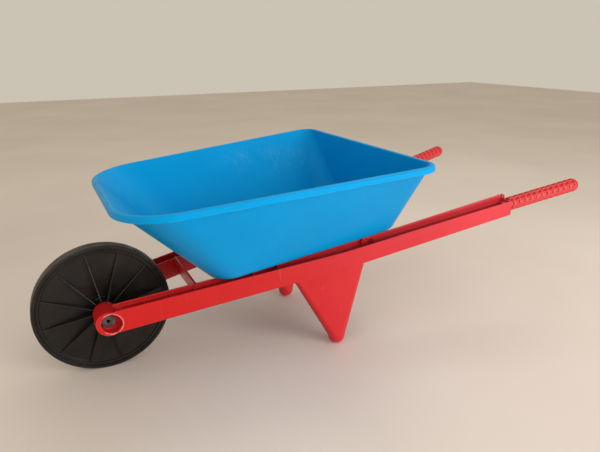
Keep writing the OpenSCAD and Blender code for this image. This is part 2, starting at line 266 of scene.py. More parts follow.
def arc(centre, radius, start, end, steps):
    """Points on an arc in a plane, with the angles in degrees."""
    found = []
    for i in range(steps + 1):
        a = math.radians(start + (end - start) * i / steps)
        found.append((centre[0] + radius * math.cos(a), centre[1] + radius * math.sin(a)))
    return found


def rounded(corners, steps=4):
    """An outline with its corners rounded; each corner is (x, y, radius)."""
    outline = []
    for i, (x, y, radius) in enumerate(corners):
        here = Vector((x, y))
        if radius == 0:
            outline.append((x, y))
            continue
        before = (Vector(corners[i - 1][:2]) - here).normalized()
        after = (Vector(corners[(i + 1) % len(corners)][:2]) - here).normalized()
        half = before.angle(after) / 2
        reach = radius / math.tan(half)
        centre = here + (before + after).normalized() * radius / math.sin(half)
        start = here + before * reach - centre
        end = here + after * reach - centre
        turn = start.angle_signed(end)
        for k in range(steps + 1):
            spun = start.copy()
            spun.rotate(Matrix.Rotation(-turn * k / steps, 2))
            outline.append(tuple(centre + spun))
    return outline


def turned(name, profile, steps, where):
    """A lathe shape: profile points are (radius, distance along the axis); where() places them."""
    rings = []
    for i in range(steps):
        a = 2 * math.pi * i / steps
        rings.append([where(r * math.cos(a), r * math.sin(a), d) for r, d in profile])
    return skin(name, rings, closed=True)


def solid_turned(name, profile, steps, where):
    """A lathe shape with a flat cap over each end of its profile."""
    turns = [2 * math.pi * i / steps for i in range(steps)]
    rings = [[where(r * math.cos(a), r * math.sin(a), d) for a in turns] for r, d in profile]
    return skin(name, rings)


def prism(name, outline, low, high, where):
    """An outline of (x, z) points, extruded from y = low to y = high; where() places them."""
    return skin(name, [[where(x, y, z) for x, z in outline] for y in (low, high)])


def cuboid(name, low, high, where):
    """A box between two corners in the space that where() places."""
    outline = [(low[0], low[2]), (high[0], low[2]), (high[0], high[2]), (low[0], high[2])]
    return prism(name, outline, low[1], high[1], where)


# ---------- frames ----------

def in_arm(side):
    """Places points of the arm's own frame: X along the arm, Y square to it."""
    def where(x, y, z):
        return (
            x * math.cos(SPLAY) - y * math.sin(SPLAY),
            side * (x * math.sin(SPLAY) + y * math.cos(SPLAY)),
            z,
        )
    return where


def in_grip(side):
    """Places points of the grip's frame: X and Y across it, with X up, and Z along it."""
    arm = in_arm(side)

    def where(x, y, z):
        along = z * math.cos(GRIP_PITCH) - x * math.sin(GRIP_PITCH)
        up = z * math.sin(GRIP_PITCH) + x * math.cos(GRIP_PITCH)
        return arm(END_X + along, ARM_MID + y, GRIP_Z + up)
    return where


def in_deck(x, y, z):
    """Places points of the tray floor's frame: origin at the middle of its front edge."""
    return (
        DECK.x + x * math.cos(DECK_PITCH) - z * math.sin(DECK_PITCH),
        y,
        DECK.z + x * math.sin(DECK_PITCH) + z * math.cos(DECK_PITCH),
    )


def in_rim(x, y, z):
    """Places points of the tray rim's frame: origin at the middle of the mouth's front edge."""
    return (
        RIM.x + x * math.cos(RIM_PITCH) - z * math.sin(RIM_PITCH),
        y,
        RIM.z + x * math.sin(RIM_PITCH) + z * math.cos(RIM_PITCH),
    )


def on_axle(side, shift=0):
    """Places points round the axle; Z runs outwards to that side."""
    def where(x, y, z):
        return (x + shift, side * z, AXLE_Z + y)
    return where


def edge_height(heights, x):
    """Height of the channel's top or underside, at a distance x along the arm."""
    start, bend, end = heights
    if x < BEND_X:
        return start + (bend - start) * x / BEND_X
    return bend + (end - bend) * (x - BEND_X) / (END_X - BEND_X)


def inner_rise(x):
    """How far the inner wall's top stands above the outer wall's."""
    for (x0, rise0), (x1, rise1) in zip(RISE, RISE[1:]):
        if x0 < x <= x1:
            return rise0 + (rise1 - rise0) * (x - x0) / (x1 - x0)
    return 0


# ---------- tray ----------

def outline_ring(length, halves, radii, out, where):
    """A ring of points round a tapered outline with rounded corners, standing out from it."""
    slope = (halves[1] - halves[0]) / length
    tilt = math.degrees(math.atan(slope))
    stretch = math.sqrt(1 + slope * slope)
    front, back = radii
    front_y = halves[0] + slope * front - stretch * front
    back_y = halves[1] - slope * back - stretch * back
    corners = (
        (front, front_y, front, 180, 90 + tilt),
        (length - back, back_y, back, 90 + tilt, 0),
        (length - back, -back_y, back, 0, -90 - tilt),
        (front, -front_y, front, -90 - tilt, -180),
    )
    arcs = []
    for x, y, r, start, end in corners:
        facing = [start + (end - start) * i / CORNER_STEPS for i in range(CORNER_STEPS + 1)]
        arcs.append([(x, y, r, math.radians(a)) for a in facing])
    ring = []
    for k, points in enumerate(arcs):
        bent = [corner_point(p, out, where) for p in points]
        following = corner_point(arcs[(k + 1) % len(arcs)][0], out, where)
        ring += bent
        for i in range(1, SIDE_STEPS):
            ring.append(tuple(Vector(bent[-1]).lerp(Vector(following), i / SIDE_STEPS)))
    return ring


def corner_point(point, out, where):
    """A point on a rounded corner; out() says how far it stands out and how high it is."""
    x, y, r, facing = point
    reach, height = out(facing)
    return where(x + (r + reach) * math.cos(facing), y + (r + reach) * math.sin(facing), height)


def wall_lean(facing):
    """How far a wall leans out from square to the floor, in radians."""
    ends = LEAN["front"] if math.cos(facing) < 0 else LEAN["back"]
    return math.radians(ends * math.cos(facing) ** 2 + LEAN["side"] * math.sin(facing) ** 2)


def bend_ring(radius, part):
    """A ring part of the way round the soft bend between the floor and the walls."""
    def out(facing):
        sweep = math.pi / 2 - wall_lean(facing)
        turn = part * sweep
        reach = radius * math.sin(turn) - DECK_BEND_R * math.tan(sweep / 2)
        return reach, DECK_BEND_R - radius * math.cos(turn)
    return outline_ring(DECK_LEN, DECK_HALF, (DECK_CORNER_R, DECK_CORNER_R), out, in_deck)


def rim_ring(reach, height):
    """A ring at the rim, standing out from the mouth."""
    return outline_ring(RIM_LEN, RIM_HALF, RIM_R, lambda facing: (reach, height), in_rim)


def between(low, high, count):
    """Rings spread evenly between two others, without either."""
    rings = []
    for j in range(1, count):
        share = j / count
        rings.append([tuple(Vector(a).lerp(Vector(b), share)) for a, b in zip(low, high)])
    return rings


def ragged(ring, amount, seed):
    """A ring moved up and down a little, as a trimmed edge is."""
    found = []
    for x, y, z in ring:
        wave = noise.noise(Vector((x / 9 + seed, y / 9, z / 9)))
        fine = noise.noise(Vector((x / 2.5, y / 2.5 + seed, z / 2.5)))
        found.append((x, y, z + amount * (wave + 0.5 * fine)))
    return found


def tray_rings():
    """Up the outside, round the turned-down lip, over the mouth's edge and down the inside."""
    bend = [0, 0.17, 0.34, 0.5, 0.67, 0.84, 1]
    outer = [bend_ring(DECK_BEND_R, part) for part in bend]
    inner = [bend_ring(DECK_BEND_R - TRAY_T, part) for part in reversed(bend)]
    under = rim_ring(1.4, -LIP_T)
    mouth = rim_ring(0, -1.4)
    skirt_in = LIP_OUT - LIP_T
    lip = [
        under,
        rim_ring(skirt_in - 0.8, -LIP_T - 0.05),
        rim_ring(skirt_in, -LIP_T - 0.8),
        ragged(rim_ring(skirt_in + 0.2, -LIP_H + 0.5), 0.12, 3),
        ragged(rim_ring(skirt_in + 0.7, -LIP_H + 0.05), 0.2, 3),
        ragged(rim_ring(LIP_OUT - 0.6, -LIP_H), 0.2, 3),
        ragged(rim_ring(LIP_OUT - 0.05, -LIP_H + 0.5), 0.16, 3),
        rim_ring(LIP_OUT, -LIP_H + 1.4),
    ]
    crest = []
    for i in range(8):
        a = math.radians(90 * i / 7)
        reach = LIP_OUT - LIP_CREST_W * (1 - math.cos(a)) - 0.05
        crest.append(rim_ring(reach, -LIP_CREST_H * (1 - math.sin(a))))
    edge = [rim_ring(1.1, 0), rim_ring(0.45, -0.25), rim_ring(0.1, -0.75), mouth]
    walls_out = between(outer[-1], under, 10)
    walls_in = between(mouth, inner[0], 10)
    return outer + walls_out + lip + crest + edge + walls_in + inner


def make_tray():
    """The tray, with a hole for each screw."""
    tray = skin("tray_tub", tray_rings())
    bore = [(SCREW_R + SCREW_GAP, -2), (SCREW_R + SCREW_GAP, 5)]
    holes = []
    for word, x, y in BARS[1:]:
        for side in (-1, 1):
            holes.append(solid_turned("hole", bore, 32, deck_spot(x, side * y)))
    boolean(tray, "DIFFERENCE", *holes)
    return shade(tray, 40)


def deck_spot(x, y):
    """Places points round a screw: Z is square to the floor, from its underside."""
    middle = (x - DECK.x) / math.cos(DECK_PITCH)

    def where(dx, dy, dz):
        return in_deck(middle + dx, y + dy, dz)
    return where


# ---------- arms ----------

def straight_stations():
    """Distances along the arm that its rings stand at, close together at the bend."""
    stations = list(range(40, BEND_X - 6, STATION_GAP))
    stations += [BEND_X - 5, BEND_X, BEND_X + 5]
    return stations + list(range(BEND_X + STATION_GAP, END_X - 10, STATION_GAP))


def channel_rings():
    """The outside of the channel, with its long edges and its end rounded."""
    stations = [(x, 0) for x in [NOSE_X] + straight_stations()]
    stations += [(END_X - 1.6, 0), (END_X - 0.75, 0.22), (END_X - 0.2, 0.8), (END_X, 1.6)]
    rings = []
    for x, inset in stations:
        low = edge_height(BOTTOM, x) + inset
        high = edge_height(TOP, x) - inset
        left = ARM_IN + inset
        right = ARM_OUT - inset
        inner_high = high + inner_rise(x)
        corners = (
            (left, low, 1.3), (right, low, 1.3), (right, high, 0.7), (left + WALL + 2, high, 0),
            (left + WALL + 1, inner_high, 0), (left, inner_high, 0.7),
        )
        rings.append([(x, y, z) for y, z in rounded(corners, 5)])
    return rings


def cavity_rings():
    """The space inside the channel, with the ledge on the inner wall and flared edges."""
    stations = [x for x, depth in TROUGH] + [CAVITY_X] + straight_stations() + [END_X - WALL]
    inner = ARM_IN + WALL
    outer = ARM_OUT - WALL
    rings = []
    for x in stations:
        high = edge_height(TOP, x)
        depth = dict(TROUGH).get(x, high - edge_height(BOTTOM, x) - WALL)
        low = high - depth
        top = high + inner_rise(x)
        ledge = min(LEDGE_DEPTH, depth * 0.8)
        soft = min(1.4, depth * 0.08)
        edge = min(0.7, depth * 0.3)
        corners = (
            (inner + LEDGE_W, low, soft), (outer, low, soft),
            (outer, high - edge, soft), (outer + 0.7, high + 0.2, 0), (outer + 0.7, high + 7, 0),
            (inner - 0.7, high + 7, 0), (inner - 0.7, top + 0.2, 0), (inner, top - edge, soft),
            (inner, high - ledge, soft / 2), (inner + LEDGE_W, high - ledge, soft / 2),
        )
        rings.append([(x, y, z) for y, z in rounded(corners, 3)])
    return rings


def leg_rings(inset):
    """The leg from inside the arm down to its round foot; inset shrinks it on all sides."""
    turn_steps = 14
    drop_steps = 12
    dome_steps = 8
    near = ARM_IN + LEG_STEP + LEG_EDGE_R
    far = ARM_OUT - LEG_STEP - LEG_EDGE_R
    front = LEG_FRONT + LEG_EDGE_R
    back = LEG_BACK - LEG_EDGE_R
    front_z = edge_height(BOTTOM, LEG_FRONT) + LEG_SINK + inset + 1
    back_z = edge_height(BOTTOM, LEG_BACK) + LEG_SINK + inset + 1
    corners = (
        (Vector((back, far, back_z)), 0), (Vector((front, far, front_z)), 90),
        (Vector((front, near, front_z)), 180), (Vector((back, near, back_z)), 270),
    )
    rings = []
    for j in range(drop_steps + 1):
        share = j / drop_steps
        radius = (LEG_EDGE_R + (FOOT_R - LEG_EDGE_R) * share) - inset
        ring = []
        for centre, start in corners:
            middle = centre.lerp(FOOT, share)
            for y, z in arc((0, 0), radius, start, start + 90, turn_steps):
                ring.append((middle.x + y, middle.y + z, middle.z))
        rings.append(ring)
    bottom = rings[-1]
    for j in range(1, dome_steps):
        a = math.radians(90 * j / dome_steps)
        ring = []
        for x, y, z in bottom:
            flat = Vector((x - FOOT.x, y - FOOT.y, 0)) * math.cos(a)
            ring.append(tuple(FOOT + flat - UP * (FOOT_R - inset) * math.sin(a)))
        rings.append(ring)
    return rings


def placed(rings, where):
    """The rings with where() applied to each point."""
    return [[where(*p) for p in ring] for ring in rings]


def boss(side, where):
    """The round boss that holds the axle, cut off flush with the arm's outer face."""
    profile = [
        (BOSS_R - 0.8, BOSS_IN), (BOSS_R - 0.25, BOSS_IN + 0.25), (BOSS_R, BOSS_IN + 0.8),
        (BOSS_R, ARM_OUT + 12),
    ]
    body = solid_turned("boss", profile, AROUND_BOSS, on_axle(side))
    beyond = cuboid("beyond", (-60, ARM_OUT, 0), (60, ARM_OUT + 60, 2 * AXLE_Z), where)
    return boolean(body, "DIFFERENCE", beyond)


def bar_notch(x, side):
    """The slot in the inner wall that a crossbar sits in."""
    along = (x - DECK.x) / math.cos(DECK_PITCH)
    reach = inner_face(x) + WALL + LEDGE_W + 1.4
    low = (along - BAR_T / 2 - BAR_FIT, 0, -BAR_DROP - BAR_H - BAR_FIT)
    high = (along + BAR_T / 2 + BAR_FIT, reach, 30)
    return cuboid("notch", low, high, lambda dx, dy, dz: in_deck(dx, side * dy, dz))


def inner_face(x):
    """Distance from the centre line to an arm's inner face."""
    return (ARM_IN + x * math.sin(SPLAY)) / math.cos(SPLAY)


def make_arm(side, name):
    """An arm with its leg and boss, its inside, and the cuts for what it holds."""
    where = in_arm(side)
    arm = skin(name, placed(channel_rings(), where))
    leg = skin("leg", placed(leg_rings(0), where))
    boolean(arm, "UNION", leg, boss(side, where))
    cavity = skin("cavity", placed(cavity_rings(), where))
    boolean(arm, "DIFFERENCE", cavity, skin("inside", placed(leg_rings(WALL), where)))
    boolean(arm, "UNION", *[rib(x, where) for x in RIB_X], gate_mark(where), flash_nub(side))
    cuts = [bar_notch(x, side) for word, x, post_y in BARS]
    bore = [(AXLE_R + BAR_FIT, BOSS_IN - 5), (AXLE_R + BAR_FIT, ARM_OUT)]
    cuts.append(solid_turned("bore", bore, 64, on_axle(side)))
    cuts.append(recess(side))
    spigot = [(SPIGOT_R + BAR_FIT, -SPIGOT_LEN), (SPIGOT_R + BAR_FIT, 8)]
    cuts.append(solid_turned("socket", spigot, 64, in_grip(side)))
    cuts.append(sink_tick(where))
    boolean(arm, "DIFFERENCE", *cuts)
    return shade(arm, 30)


def rib(x, where):
    """A thin cross wall inside the channel, with a rounded top."""
    low = edge_height(BOTTOM, x) + 1
    high = edge_height(TOP, x) - 1.2
    corners = ((x - 1, low, 0), (x + 1, low, 0), (x + 1, high, 0.7), (x - 1, high, 0.7))
    return prism("rib", rounded(corners), ARM_IN + 1, ARM_OUT - 1, where)


def recess(side):
    """The recess round the axle's end, set back a little, with a softened mouth."""
    profile = [(RECESS_R - 0.6, RECESS_IN), (RECESS_R, RECESS_IN + 0.6), (RECESS_R, ARM_OUT + 20)]
    return solid_turned("recess", profile, AROUND_BOSS, on_axle(side, RECESS_SHIFT))


def gate_mark(where):
    """The low round stub that the mould's gate leaves on the leg."""
    centre = Vector((282, 53.1, 95.5))
    tilt = 0.078
    profile = [(2.1, -2.2), (2.1, 0.25), (1.7, 0.55), (0.9, 0.6), (0.7, 0.25)]

    def spot(x, y, z):
        return where(centre.x + x, centre.y + z - tilt * y, centre.z + y + tilt * z)
    return solid_turned("gate", profile, 24, spot)


def flash_nub(side):
    """A bit of flash left on the front of the boss."""
    profile = [(0.9, -1.5), (0.8, 0.6), (0.4, 1.1)]
    out_y = 43
    drop = 1

    def spot(x, y, z):
        return (-BOSS_R - z + 0.1, side * (out_y + x), AXLE_Z - drop + y)
    return solid_turned("nub", profile, 12, spot)


def sink_tick(where):
    """A short slanting nick in the arm's outer wall."""
    high = edge_height(TOP, 222)
    outline = [(224.4, high - 15), (223.8, high - 15), (221.4, high + 1), (222.9, high + 1)]
    return prism("tick", outline, ARM_OUT - 0.25, ARM_OUT + 1, where)


# ---------- grips ----------

def grip_length():
    """From the arm's end wall to the centre of the grip's round end."""
    reach = (TIP_X - GRIP_R + ARM_MID * math.sin(SPLAY)) / math.cos(SPLAY) - END_X
    return reach / math.cos(GRIP_PITCH)


def dimple(angle, along):
    """Depth of the dimples at a place on the grip: 0 between them."""
    deepest = 0
    spot = (along - DIMPLE_START) / DIMPLE_PITCH
    index = round(spot)
    if index < 0 or index >= DIMPLE_COUNT or along < NECK_LEN:
        return 0
    across_len = abs(spot - index) * DIMPLE_PITCH
    for row in DIMPLE_ROWS:
        turn = (angle - row + 180) % 360 - 180
        across_w = abs(math.radians(turn)) * GRIP_R
        if across_w < DIMPLE_W:
            share = soft_edge(DIMPLE_LEN / 2 - across_len) * soft_edge(DIMPLE_W / 2 - across_w)
            deepest = max(deepest, share)
    return DIMPLE_DEPTH * deepest


def soft_edge(inside):
    """0 outside a dimple's edge and 1 well inside it, smooth between."""
    share = min(max(inside / DIMPLE_SOFT + 0.5, 0), 1)
    return share * share * (3 - 2 * share)


def make_grip(side, name):
    """A grip with its dimples, neck and spigot, cut square to the arm's end wall."""
    length = grip_length()
    step = 0.6
    before = 6
    dome_steps = 14
    stations = [-before + step * i for i in range(int((length + before) / step))] + [length]
    rings = [(z, GRIP_R - NECK_STEP * (z < NECK_LEN)) for z in stations]
    for j in range(1, dome_steps):
        a = math.radians(90 * j / dome_steps)
        rings.append((length + GRIP_R * math.sin(a), GRIP_R * math.cos(a)))
    skins = []
    where = in_grip(side)
    for z, radius in rings:
        ring = []
        for i in range(AROUND_GRIP):
            # the angle is measured from the outside of the grip, up over its top
            angle = 360 * i / AROUND_GRIP
            r = radius - dimple(angle, z) * (radius / GRIP_R)
            a = math.radians(angle)
            ring.append(where(r * math.sin(a), r * math.cos(a), z))
        skins.append(ring)
    grip = skin(name, skins)
    inside = cuboid("inside", (END_X - 60, 0, 100), (END_X + BAR_FIT, 100, 300), in_arm(side))
    boolean(grip, "DIFFERENCE", inside)
    spigot = solid_turned("spigot", [(SPIGOT_R, 4), (SPIGOT_R, 1 - SPIGOT_LEN)], 64, where)
    boolean(grip, "UNION", spigot)
    return shade(grip, 40)


# ---------- crossbars ----------

def make_crossbar(name, x, post_y):
    """An upright plate with a head at each end, and two screw posts where post_y is not 0."""
    along = (x - DECK.x) / math.cos(DECK_PITCH)
    head_y = inner_face(x) + (WALL + LEDGE_W) / math.cos(SPLAY) + 0.8

    def where(dx, dy, dz):
        return in_deck(along + dx, dy, dz - BAR_DROP)
    bar = cuboid(name, (-BAR_T / 2, -head_y - 1, -BAR_H), (BAR_T / 2, head_y + 1, 0), where)
    for side in (-1, 1):
        reach = (side * head_y, side * (head_y + HEAD_REACH))
        low = (-4, min(reach), 3 - BAR_H)
        high = (4, max(reach), -3)
        boolean(bar, "UNION", cuboid("head", low, high, where))
        if post_y:
            spot = shifted(where, side * post_y)
            foot = POST_DROP - BAR_H
            post = [(POST_R - 0.5, foot), (POST_R, foot + 0.5), (POST_R, 0)]
            boolean(bar, "UNION", solid_turned("post", post, 48, spot))
    bevel(bar, 0.45)
    for side in (-1, 1):
        if post_y:
            pilot = [(SCREW_R + BAR_FIT, 1 - SCREW_LEN), (SCREW_R + BAR_FIT, 2)]
            spot = shifted(where, side * post_y)
            boolean(bar, "DIFFERENCE", solid_turned("pilot", pilot, 32, spot))
    return shade(bar, 32)


def shifted(where, y):
    """where() with its points moved sideways first."""
    return lambda dx, dy, dz: where(dx, dy + y, dz)


# ---------- wheel ----------

def web_height(r):
    """Distance of the web's outer face from the wheel's middle plane; it dishes in at the hub."""
    return WEB_Z - WEB_DISH * min((WEB_R - r) / (WEB_R - HUB_R), 1)


def wheel_profile():
    """Half of the hollow wheel from its bore over its rim and back; distances run outwards."""
    lip = RIM_HALF_W - 0.8
    groove = RIM_HALF_W - GROOVE_DEPTH
    inner_r = WHEEL_R - SHELL_T
    corners = (
        (BORE_R, 0, 0), (BORE_R, HUB_HALF, 0.5), (HUB_R, HUB_HALF, 0.8),
        (HUB_R + 0.8, web_height(HUB_R), 1.5), (WEB_R, WEB_Z, 0.8), (WEB_R + 0.8, lip, 0.5),
        (LIP_R, lip, 0.4), (LIP_R + 0.4, groove, 0.3), (GROOVE_R, groove, 0.3),
        (GROOVE_R + 0.6, RIM_HALF_W, 0.4), (WHEEL_R - 1.2, RIM_HALF_W, 1),
        (WHEEL_R, RIM_HALF_W - 1.2, 1), (WHEEL_R, 0.5, 0.3), (WHEEL_R - 0.5, 0, 0),
        (inner_r, 0, 0), (inner_r, WEB_Z - 1, 0.5), (WEB_R - 1, WEB_Z - SHELL_T, 1),
        (HOLLOW_R, web_height(HOLLOW_R) - SHELL_T, 0.4), (HOLLOW_R, 0, 0),
    )
    return rounded(corners)


def fin_rings(angle, where):
    """A fin that rises from the rim to the hub, with a rounded top."""
    a = math.radians(angle)
    steps = 8
    foot = FIN_T / 2 + 0.15
    head = FIN_T / 2 - 0.35
    rings = []
    for i in range(steps + 1):
        r = HUB_R - 1 + (WEB_R + 0.5 - HUB_R + 1) * i / steps
        top = FIN_TOP[0] + (FIN_TOP[1] - FIN_TOP[0]) * i / steps
        web = web_height(r)
        section = [(-foot, web - 1), (-foot, web), (-head, top - 0.5)]
        section += [(-head * 0.7, top - 0.12), (0, top), (head * 0.7, top - 0.12)]
        section += [(head, top - 0.5), (foot, web), (foot, web - 1)]
        rings.append([
            where(r * math.cos(a) - t * math.sin(a), r * math.sin(a) + t * math.cos(a), z)
            for t, z in section
        ])
    return rings


def make_wheel_half(side, name):
    """One half of the wheel, with its fins on the outside."""
    where = on_axle(side)
    half = turned(name, wheel_profile(), AROUND_WHEEL, where)
    for i in range(FIN_COUNT):
        fin = skin("fin", fin_rings(FIN_START + i * 360 / FIN_COUNT, where))
        boolean(half, "UNION", fin)
    return shade(half, 30)


# ---------- axle ----------

def make_axle():
    """The tubular axle, with its head in the left boss."""
    end = RECESS_IN + HEAD_T
    corners = (
        (AXLE_HOLE_R, -end, 0.3), (AXLE_R, -end, 0.5), (AXLE_R, RECESS_IN + BAR_FIT, 0),
        (HEAD_R, RECESS_IN + BAR_FIT, 0.3), (HEAD_R, end, 0.9), (AXLE_HOLE_R, end, 0.6),
    )
    return shade(turned("axle_pin", rounded(corners, 5), AROUND_BOSS, on_axle(-1)), 30)


def make_cap():
    """The cap pushed onto the axle's other end."""
    low = RECESS_IN + BAR_FIT
    high = RECESS_IN + HEAD_T
    corners = (
        (AXLE_R + BAR_FIT, low, 0.2), (HEAD_R, low, 0.3), (HEAD_R, high, 0.9),
        (AXLE_R + BAR_FIT, high, 0.3),
    )
    return shade(turned("axle_push_cap", rounded(corners, 5), AROUND_BOSS, on_axle(1)), 30)


# ---------- materials ----------

class Graph:
    """A material's nodes, with short calls for what the plastics share."""

    def __init__(self, name):
        self.material = bpy.data.materials.new(name)
        self.material.use_nodes = True
        self.nodes = self.material.node_tree.nodes
        self.links = self.material.node_tree.links
        self.shader = self.nodes["Principled BSDF"]
        self.place = self.add("ShaderNodeTexCoord").outputs["Object"]

    def add(self, kind, **settings):
        node = self.nodes.new(kind)
        for key, value in settings.items():
            setattr(node, key, value)
        return node

    def put(self, socket, value):
        """Links a node's output into a socket, or sets the socket's own number or colour."""
        if isinstance(value, bpy.types.NodeSocket):
            self.links.new(value, socket)
        else:
            socket.default_value = value

    def stretched(self, scale, turn=(0, 0, 0)):
        """The object's coordinates, scaled per axis and turned by degrees."""
        node = self.add("ShaderNodeMapping")
        self.put(node.inputs["Vector"], self.place)
        node.inputs["Scale"].default_value = scale
        node.inputs["Rotation"].default_value = [math.radians(a) for a in turn]
        return node.outputs["Vector"]

    def noise(self, scale, detail=2, vector=None, rough=0.5):
        node = self.add("ShaderNodeTexNoise")
        self.put(node.inputs["Vector"], vector or self.place)
        node.inputs["Scale"].default_value = scale
        node.inputs["Detail"].default_value = detail
        node.inputs["Roughness"].default_value = rough
        return node.outputs["Fac"]

    def span(self, value, low, high, start=0, end=1):
        """value taken from low..high to start..end, with soft ends."""
        node = self.add("ShaderNodeMapRange", interpolation_type="SMOOTHSTEP")
        self.put(node.inputs["Value"], value)
        ends = {"From Min": low, "From Max": high, "To Min": start, "To Max": end}
        for key, number in ends.items():
            node.inputs[key].default_value = number
        return node.outputs["Result"]

    def maths(self, operation, a, b=0.0):
        node = self.add("ShaderNodeMath", operation=operation)
        self.put(node.inputs[0], a)
        self.put(node.inputs[1], b)
        return node.outputs["Value"]

    def mix(self, share, a, b):
        node = self.add("ShaderNodeMix", data_type="RGBA")
        self.put(node.inputs["Factor"], share)
        self.put(node.inputs["A"], a)
        self.put(node.inputs["B"], b)
        return node.outputs["Result"]

    def axes(self):
        """The object's X, Y and Z at each point, in metres."""
        node = self.add("ShaderNodeSeparateXYZ")
        self.put(node.inputs["Vector"], self.place)
        return node.outputs["X"], node.outputs["Y"], node.outputs["Z"]

    def edges(self, radius, low=0.004, high=0.12):
        """1 on sharp edges and 0 on flat faces."""
        soft = self.add("ShaderNodeBevel", samples=6)
        soft.inputs["Radius"].default_value = radius
        geometry = self.add("ShaderNodeNewGeometry")
        product = self.add("ShaderNodeVectorMath", operation="DOT_PRODUCT")
        self.put(product.inputs[0], soft.outputs["Normal"])
        self.put(product.inputs[1], geometry.outputs["Normal"])
        return self.span(self.maths("SUBTRACT", 1.0, product.outputs["Value"]), low, high)

    def bump(self, height, strength, distance, onto=None):
        node = self.add("ShaderNodeBump")
        self.put(node.inputs["Height"], height)
        node.inputs["Strength"].default_value = strength
        node.inputs["Distance"].default_value = distance
        if onto is not None:
            self.put(node.inputs["Normal"], onto)
        return node.outputs["Normal"]

    def near(self, centre, radii):
        """1 at a point and 0 outside an ellipsoid round it, soft between; metres."""
        shifted_to = self.add("ShaderNodeVectorMath", operation="SUBTRACT")
        self.put(shifted_to.inputs[0], self.place)
        shifted_to.inputs[1].default_value = centre
        divided = self.add("ShaderNodeVectorMath", operation="DIVIDE")
        self.put(divided.inputs[0], shifted_to.outputs["Vector"])
        divided.inputs[1].default_value = radii
        length = self.add("ShaderNodeVectorMath", operation="LENGTH")
        self.put(length.inputs[0], divided.outputs["Vector"])
        return self.span(length.outputs["Value"], 1, 0)

    def from_line(self, x, z):
        """Distance in metres from a line along Y."""
        here = self.axes()
        flat = self.maths("POWER", self.maths("SUBTRACT", here[0], x), 2.0)
        tall = self.maths("POWER", self.maths("SUBTRACT", here[2], z), 2.0)
        return self.maths("SQRT", self.maths("ADD", flat, tall))

    def finish(self, colour, roughness, normal, specular=0.25, tint=(1, 1, 1, 1)):
        self.shader.inputs["Specular IOR Level"].default_value = specular
        self.shader.inputs["Specular Tint"].default_value = tint
        self.put(self.shader.inputs["Base Color"], colour)
        self.put(self.shader.inputs["Roughness"], roughness)
        self.put(self.shader.inputs["Normal"], normal)
        return self.material


def scratches(g, scale, turn):
    """Fine long marks that run in one direction."""
    along = g.stretched((1, 0.035, 0.035), turn)
    return g.span(g.noise(scale, 3, along), 0.63, 0.72)


def moulded(g, strength=0.12):
    """The fine surface of moulded plastic: an eggshell grain and very slow waves."""
    grain = g.bump(g.noise(1400, 2), strength, 0.00006)
    return g.bump(g.noise(26, 2), 0.25, 0.0006, grain)


def blue_plastic():
    """The tray's plastic, with haze and scratches where hands and loads have rubbed it."""
    g = Graph("blue_polypropylene")
    slow = g.span(g.noise(7, 3), 0.3, 0.7)
    colour = g.mix(slow, (0.0, 0.275, 0.625, 1), (0.0, 0.305, 0.69, 1))
    cloud = g.span(g.noise(22, 5, rough=0.65), 0.38, 0.7)
    fine = g.span(g.noise(180, 4, g.stretched((1, 1, 0.3), (0, 20, 15)), 0.7), 0.35, 0.75)
    far_wall = g.near((0.0, 0.15, 0.215), (0.13, 0.05, 0.05))
    back_corner = g.near((0.062, 0.125, 0.225), (0.02, 0.05, 0.045))
    front_streak = g.near((-0.2, -0.06, 0.19), (0.05, 0.035, 0.06))
    haze = g.maths("MAXIMUM", g.maths("MAXIMUM", far_wall, back_corner), front_streak)
    haze = g.maths("MULTIPLY", haze, g.maths("MULTIPLY", cloud, fine))
    colour = g.mix(g.maths("MULTIPLY", haze, 0.30), colour, (0.22, 0.45, 0.68, 1))
    marks = g.maths("MAXIMUM", scratches(g, 260, (0, 12, 40)), scratches(g, 310, (0, 65, -20)))
    marks = g.maths("MULTIPLY", marks, g.span(g.noise(9, 2), 0.42, 0.62))
    colour = g.mix(g.maths("MULTIPLY", marks, 0.05), colour, (0.25, 0.55, 0.80, 1))
    # painted highlight: a broken bright line along sharp edges, most of all the lip's lower edge
    highlight_and_wear = g.maths("MULTIPLY", g.edges(0.0014, 0.002, 0.08), g.span(g.noise(60, 3), 0.4, 0.6))
    colour = g.mix(g.maths("MULTIPLY", highlight_and_wear, 0.6), colour, (0.10, 0.58, 0.85, 1))
    rough = g.span(g.noise(30, 4), 0.3, 0.7, 0.36, 0.46)
    rough = g.maths("ADD", rough, g.maths("MULTIPLY", haze, 0.25))
    return g.finish(colour, rough, moulded(g), 0.2, (0.25, 0.65, 1, 1))


def recess_wear(g):
    """A rubbed ring, broken here and there, round the mouth of each recess."""
    reach = g.from_line(AXLE.x + RECESS_SHIFT * MM, AXLE.z)
    off = g.maths("ABSOLUTE", g.maths("SUBTRACT", reach, (RECESS_R + 0.5) * MM))
    ring = g.span(off, 0.0012, 0.0003)
    # only on the arms' outer faces
    outside = g.span(g.maths("ABSOLUTE", g.axes()[1]), 0.0545, 0.055)
    patchy = g.span(g.noise(220, 3), 0.3, 0.55, 0.25, 0.85)
    return g.maths("MULTIPLY", ring, g.maths("MULTIPLY", outside, patchy))


